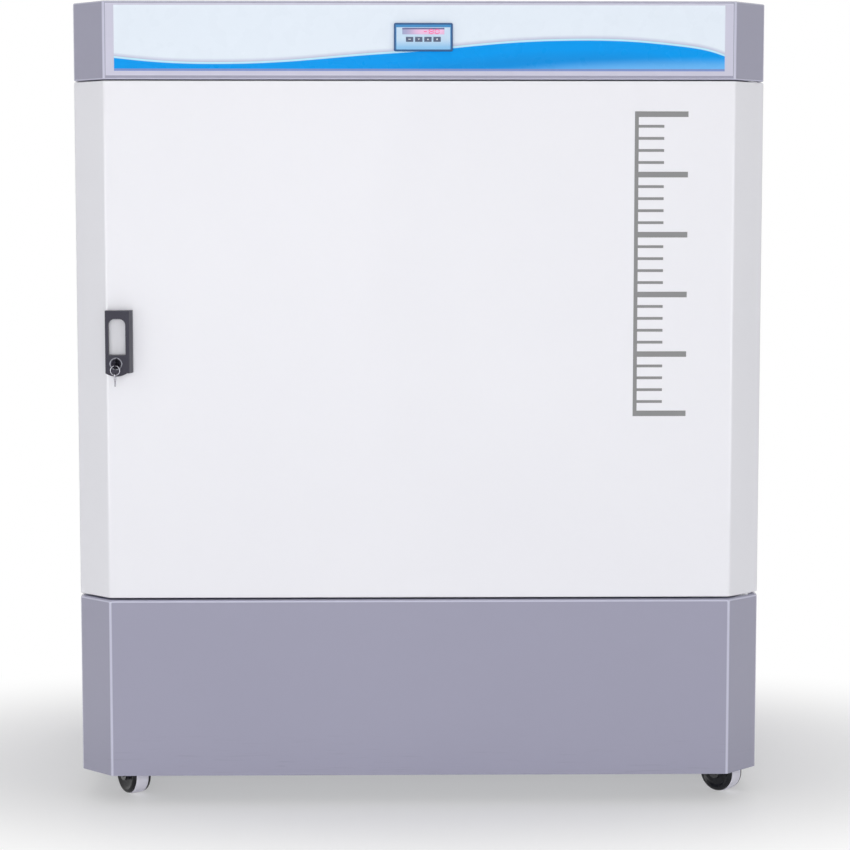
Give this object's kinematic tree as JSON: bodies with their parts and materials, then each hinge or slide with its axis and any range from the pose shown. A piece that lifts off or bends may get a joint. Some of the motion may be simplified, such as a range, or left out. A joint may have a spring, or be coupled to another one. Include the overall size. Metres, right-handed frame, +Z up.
{
  "type": "ultra low temperature freezer",
  "caption": "Low cabinet freezer on swivel casters with a thick side-hung front door, inner doors, shelved cold chamber and refrigeration machinery in its base.",
  "frame": {"origin": "centre of the bounding box in X and Y, on the floor", "axes": "+Z up, -Y towards the front with the door, +X to the user's right when facing the door"},
  "size_m": [1.25, 0.8665, 1.4545],
  "materials": {
    "white_paint": "powder coat, satin white",
    "grey_paint": "powder coat, satin grey",
    "black_paint": "semi-gloss black enamel",
    "stainless": "brushed",
    "galvanised": "zinc plated",
    "chrome": "polished",
    "aluminium": "plain",
    "copper": "drawn copper",
    "foam": "foamed polyurethane",
    "light_plastic": "moulded, satin",
    "overlay_film": "printed film",
    "dark_plastic": "moulded, fine grain",
    "display": "tinted window",
    "key_plastic": "moulded rubber-like keys",
    "board": "lacquered circuit board",
    "black_plastic": "moulded, fine grain",
    "gasket": "soft grey seal",
    "rubber": "black rubber",
    "caster_tyre": "light non-marking tread"
  },
  "bodies": {
    "cabinet": {"outer_case": "white_paint", "insulation": "foam", "inner_liner": "stainless", "breaker_frame": "light_plastic", "shelf_rails": "stainless", "shelf_lower": "stainless", "shelf_middle": "stainless", "shelf_upper": "stainless", "evaporator_coil": "copper", "inner_hinge_pins": "stainless", "latch_strike": "stainless", "door_hinges": "stainless", "header_shell": "grey_paint", "panel_bezel": "light_plastic", "control_overlay": "overlay_film", "controller_body": "dark_plastic", "display_window": "display", "control_board": "board", "power_inlet": "black_plastic", "base_chassis": "galvanised", "base_front_panel": "grey_paint", "base_side_panels": "grey_paint", "rear_cover": "galvanised", "compressor_high_stage": "black_paint", "compressor_low_stage": "black_paint", "condenser_coil": "aluminium", "fan_shroud": "galvanised", "fan_motor": "aluminium", "refrigerant_lines": "copper", "cascade_exchanger": "rubber", "caster_plates": "galvanised", "cover_screws": "galvanised", "rear_stops": "rubber"},
    "door": {"door_skin": "white_paint", "door_foam": "foam", "door_liner": "white_paint", "door_gasket": "gasket", "door_bushes": "light_plastic", "door_handle": "black_plastic", "lock_barrel": "chrome", "latch_pocket": "black_plastic"},
    "lock": {"lock_plug": "chrome", "door_key": "chrome"},
    "key_ring": {"key_ring": "chrome"},
    "inner_door_lower": {"inner_door_lower": "light_plastic"},
    "inner_door_upper": {"inner_door_upper": "light_plastic"},
    "fan": {"fan_blades": "aluminium"},
    "power_switch": {"power_switch": "black_plastic"},
    "key_set": {"key_set": "key_plastic"},
    "key_down": {"key_down": "key_plastic"},
    "key_up": {"key_up": "key_plastic"},
    "key_mute": {"key_mute": "key_plastic"},
    "caster_front_left_fork": {"caster_front_left_fork": "black_paint"},
    "caster_front_left_wheel": {"caster_front_left_wheel": "caster_tyre"},
    "caster_front_right_fork": {"caster_front_right_fork": "black_paint"},
    "caster_front_right_wheel": {"caster_front_right_wheel": "caster_tyre"},
    "caster_rear_left_fork": {"caster_rear_left_fork": "black_paint"},
    "caster_rear_left_wheel": {"caster_rear_left_wheel": "caster_tyre"},
    "caster_rear_right_fork": {"caster_rear_right_fork": "black_paint"},
    "caster_rear_right_wheel": {"caster_rear_right_wheel": "caster_tyre"}
  },
  "joints": [
    {"name": "door_swing", "type": "hinge", "parent": "cabinet", "child": "door", "pos_m": [0.599, -0.32175, 0.84725], "axis": [0, 0, 1], "range_deg": [0, 120]},
    {"name": "lock_turn", "type": "hinge", "parent": "door", "child": "lock", "pos_m": [-0.544, -0.42325, 0.8095], "axis": [0, -1, 0], "range_deg": [0, 90]},
    {"name": "key_ring_swing", "type": "hinge", "parent": "lock", "child": "key_ring", "pos_m": [-0.544, -0.42325, 0.8025], "axis": [0, -1, 0], "range_deg": [-90, 0]},
    {"name": "inner_door_lower_swing", "type": "hinge", "parent": "cabinet", "child": "inner_door_lower", "pos_m": [0.503, -0.25575, 0.665], "axis": [0, 0, 1], "range_deg": [0, 100]},
    {"name": "inner_door_upper_swing", "type": "hinge", "parent": "cabinet", "child": "inner_door_upper", "pos_m": [0.503, -0.25575, 1.024], "axis": [0, 0, 1], "range_deg": [0, 100]},
    {"name": "fan_spin", "type": "hinge", "parent": "cabinet", "child": "fan", "pos_m": [-0.4, 0.03825, 0.2375], "axis": [1, 0, 0], "continuous": true},
    {"name": "power_switch_rock", "type": "hinge", "parent": "cabinet", "child": "power_switch", "pos_m": [-0.37, 0.41125, 0.16], "axis": [1, 0, 0], "range_deg": [0, 18]},
    {"name": "key_set_press", "type": "slide", "parent": "cabinet", "child": "key_set", "axis": [0, 1, 0], "range_m": [0, 0.0008], "stiffness_N_per_m": 400},
    {"name": "key_down_press", "type": "slide", "parent": "cabinet", "child": "key_down", "axis": [0, 1, 0], "range_m": [0, 0.0008], "stiffness_N_per_m": 400},
    {"name": "key_up_press", "type": "slide", "parent": "cabinet", "child": "key_up", "axis": [0, 1, 0], "range_m": [0, 0.0008], "stiffness_N_per_m": 400},
    {"name": "key_mute_press", "type": "slide", "parent": "cabinet", "child": "key_mute", "axis": [0, 1, 0], "range_m": [0, 0.0008], "stiffness_N_per_m": 400},
    {"name": "caster_front_left_swivel", "type": "hinge", "parent": "cabinet", "child": "caster_front_left_fork", "pos_m": [-0.548, -0.26675, 0.094], "axis": [0, 0, 1], "continuous": true},
    {"name": "caster_front_left_roll", "type": "hinge", "parent": "caster_front_left_fork", "child": "caster_front_left_wheel", "pos_m": [-0.53384, -0.28856, 0.0375], "axis": [0.8387, 0.5446, 0], "continuous": true},
    {"name": "caster_front_right_swivel", "type": "hinge", "parent": "cabinet", "child": "caster_front_right_fork", "pos_m": [0.548, -0.26675, 0.094], "axis": [0, 0, 1], "continuous": true},
    {"name": "caster_front_right_roll", "type": "hinge", "parent": "caster_front_right_fork", "child": "caster_front_right_wheel", "pos_m": [0.56606, -0.28545, 0.0375], "axis": [0.7193, 0.6947, 0], "continuous": true},
    {"name": "caster_rear_left_swivel", "type": "hinge", "parent": "cabinet", "child": "caster_rear_left_fork", "pos_m": [-0.548, 0.30325, 0.094], "axis": [0, 0, 1], "continuous": true},
    {"name": "caster_rear_left_roll", "type": "hinge", "parent": "caster_rear_left_fork", "child": "caster_rear_left_wheel", "pos_m": [-0.5267, 0.31816, 0.0375], "axis": [-0.5736, 0.8192, 0], "continuous": true},
    {"name": "caster_rear_right_swivel", "type": "hinge", "parent": "cabinet", "child": "caster_rear_right_fork", "pos_m": [0.548, 0.30325, 0.094], "axis": [0, 0, 1], "continuous": true},
    {"name": "caster_rear_right_roll", "type": "hinge", "parent": "caster_rear_right_fork", "child": "caster_rear_right_wheel", "pos_m": [0.53199, 0.32374, 0.0375], "axis": [-0.788, -0.6157, 0], "continuous": true}
  ],
  "couplings": [
    {"joint": "key_ring_swing", "follows": "lock_turn", "ratio": -1},
    {"joint": "inner_door_lower_swing", "follows": "door_swing", "ratio": 0.8},
    {"joint": "inner_door_upper_swing", "follows": "door_swing", "ratio": 0.8}
  ]
}
